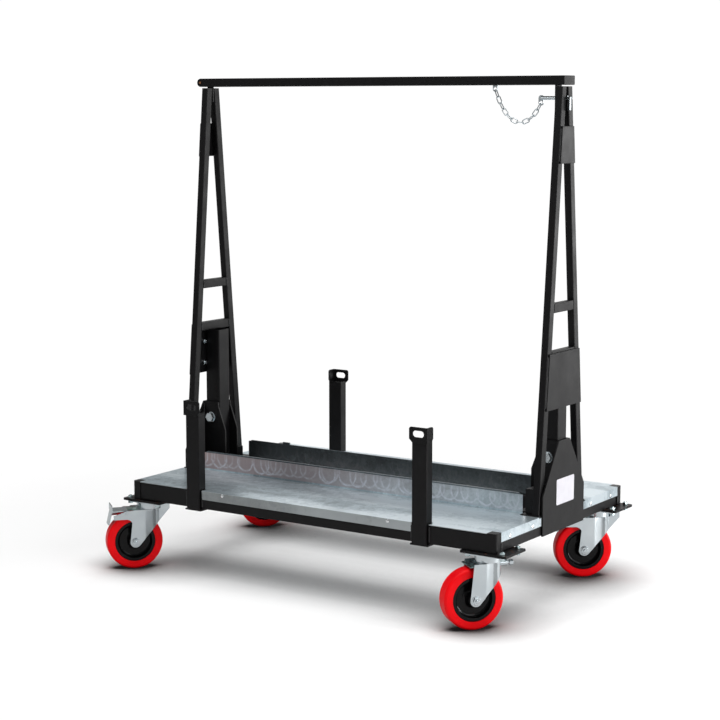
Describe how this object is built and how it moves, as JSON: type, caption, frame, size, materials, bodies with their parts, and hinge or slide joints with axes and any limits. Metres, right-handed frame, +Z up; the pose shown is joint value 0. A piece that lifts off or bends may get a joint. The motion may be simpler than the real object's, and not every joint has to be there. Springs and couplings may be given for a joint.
{
  "type": "drywall cart",
  "caption": "Steel trolley for moving plasterboard: a galvanised deck on swivel castors with an A-frame at each end, a pinned top bar and lift-out edge posts",
  "frame": {"origin": "on the floor under the middle of the deck frame", "axes": "+X along the length towards the end with the lock pin, +Y to the rear, +Z up"},
  "size_m": [1.294, 0.7975, 1.3915],
  "materials": {
    "black_paint": "satin powder coat",
    "galvanised": "galvanised sheet",
    "dark_galvanised": "dull dark steel",
    "zinc": "bright zinc plate",
    "copper": "dull",
    "red_tyre": "satin polyurethane",
    "hub_black": "satin"
  },
  "bodies": {
    "frame": {"front_rail": "black_paint", "rear_rail": "black_paint", "end_rails": "black_paint", "centre_rails": "black_paint", "corner_posts": "black_paint", "front_deck": "galvanised", "rear_deck": "galvanised", "front_upstand": "dark_galvanised", "rear_upstand": "dark_galvanised", "mount_plates": "black_paint", "castor_bolts": "zinc", "castor_top_plates": "zinc", "post_sockets": "black_paint", "base_plates": "black_paint", "end_plates": "black_paint", "cheeks": "black_paint", "foot_channels": "black_paint", "stub_posts": "black_paint", "pivot_bolts": "zinc", "left_legs": "black_paint", "right_legs": "black_paint", "cross_rails": "black_paint", "gusset_plates": "black_paint", "side_plates": "black_paint", "top_bar": "black_paint", "bar_rivet": "copper", "bar_hangers": "black_paint", "apex_plate": "black_paint", "chain_tab": "zinc", "chain": "zinc"},
    "castor_fl": {"fork_fl": "zinc", "axle_fl": "zinc"},
    "wheel_fl": {"tyre_fl": "red_tyre", "hub_fl": "hub_black"},
    "pedal_fl": {"brake_pedal_fl": "zinc"},
    "edge_post_fl": {"post_fl": "black_paint", "handle_fl": "black_paint"},
    "castor_fr": {"fork_fr": "zinc", "axle_fr": "zinc"},
    "wheel_fr": {"tyre_fr": "red_tyre", "hub_fr": "hub_black"},
    "plunger_fr": {"swivel_lock_fr": "zinc"},
    "edge_post_fr": {"post_fr": "black_paint", "handle_fr": "black_paint"},
    "castor_rl": {"fork_rl": "zinc", "axle_rl": "zinc"},
    "wheel_rl": {"tyre_rl": "red_tyre", "hub_rl": "hub_black"},
    "plunger_rl": {"swivel_lock_rl": "zinc"},
    "edge_post_rl": {"post_rl": "black_paint", "handle_rl": "black_paint"},
    "castor_rr": {"fork_rr": "zinc", "axle_rr": "zinc"},
    "wheel_rr": {"tyre_rr": "red_tyre", "hub_rr": "hub_black"},
    "pedal_rr": {"brake_pedal_rr": "zinc"},
    "edge_post_rr": {"post_rr": "black_paint", "handle_rr": "black_paint"},
    "pin": {"lock_pin": "zinc"},
    "nose": {"pin_nose": "zinc"}
  },
  "joints": [
    {"name": "swivel_fl", "type": "hinge", "parent": "frame", "child": "castor_fl", "pos_m": [-0.5685, -0.321, 0.18], "axis": [0, 0, 1], "continuous": true},
    {"name": "roll_fl", "type": "hinge", "parent": "castor_fl", "child": "wheel_fl", "pos_m": [-0.59713, -0.35441, 0.08], "axis": [0.7593, -0.6508, 0], "continuous": true},
    {"name": "brake_fl", "type": "hinge", "parent": "castor_fl", "child": "pedal_fl", "pos_m": [-0.61275, -0.37263, 0.164], "axis": [0.7593, -0.6508, 0], "range_deg": [0, 6]},
    {"name": "lift_post_fl", "type": "slide", "parent": "frame", "child": "edge_post_fl", "axis": [0, 0, 1], "range_m": [0, 0.15]},
    {"name": "swivel_fr", "type": "hinge", "parent": "frame", "child": "castor_fr", "pos_m": [0.5505, -0.321, 0.18], "axis": [0, 0, 1], "continuous": true},
    {"name": "roll_fr", "type": "hinge", "parent": "castor_fr", "child": "wheel_fr", "pos_m": [0.52311, -0.35544, 0.08], "axis": [0.7826, -0.6225, 0], "continuous": true},
    {"name": "lock_fr", "type": "slide", "parent": "castor_fr", "child": "plunger_fr", "axis": [0.6225, 0.7826, 0], "range_m": [0, 0.008], "stiffness_N_per_m": 400},
    {"name": "lift_post_fr", "type": "slide", "parent": "frame", "child": "edge_post_fr", "axis": [0, 0, 1], "range_m": [0, 0.15]},
    {"name": "swivel_rl", "type": "hinge", "parent": "frame", "child": "castor_rl", "pos_m": [-0.5685, 0.3022, 0.18], "axis": [0, 0, 1], "continuous": true},
    {"name": "roll_rl", "type": "hinge", "parent": "castor_rl", "child": "wheel_rl", "pos_m": [-0.59873, 0.27023, 0.08], "axis": [0.7266, -0.6871, 0], "continuous": true},
    {"name": "lock_rl", "type": "slide", "parent": "castor_rl", "child": "plunger_rl", "axis": [0.6871, 0.7266, 0], "range_m": [0, 0.008], "stiffness_N_per_m": 400},
    {"name": "lift_post_rl", "type": "slide", "parent": "frame", "child": "edge_post_rl", "axis": [0, 0, 1], "range_m": [0, 0.15]},
    {"name": "swivel_rr", "type": "hinge", "parent": "frame", "child": "castor_rr", "pos_m": [0.5505, 0.3022, 0.18], "axis": [0, 0, 1], "continuous": true},
    {"name": "roll_rr", "type": "hinge", "parent": "castor_rr", "child": "wheel_rr", "pos_m": [0.51583, 0.27511, 0.08], "axis": [0.6157, -0.788, 0], "continuous": true},
    {"name": "brake_rr", "type": "hinge", "parent": "castor_rr", "child": "pedal_rr", "pos_m": [0.49691, 0.26033, 0.164], "axis": [0.6157, -0.788, 0], "range_deg": [0, 6]},
    {"name": "lift_post_rr", "type": "slide", "parent": "frame", "child": "edge_post_rr", "axis": [0, 0, 1], "range_m": [0, 0.15]},
    {"name": "pull_pin", "type": "slide", "parent": "frame", "child": "pin", "axis": [-1, 0, 0], "range_m": [0, 0.085], "deforming": ["chain"]},
    {"name": "turn_nose", "type": "hinge", "parent": "pin", "child": "nose", "pos_m": [0.5955, 0, 1.334], "axis": [0, -1, 0], "range_deg": [0, 90]}
  ]
}
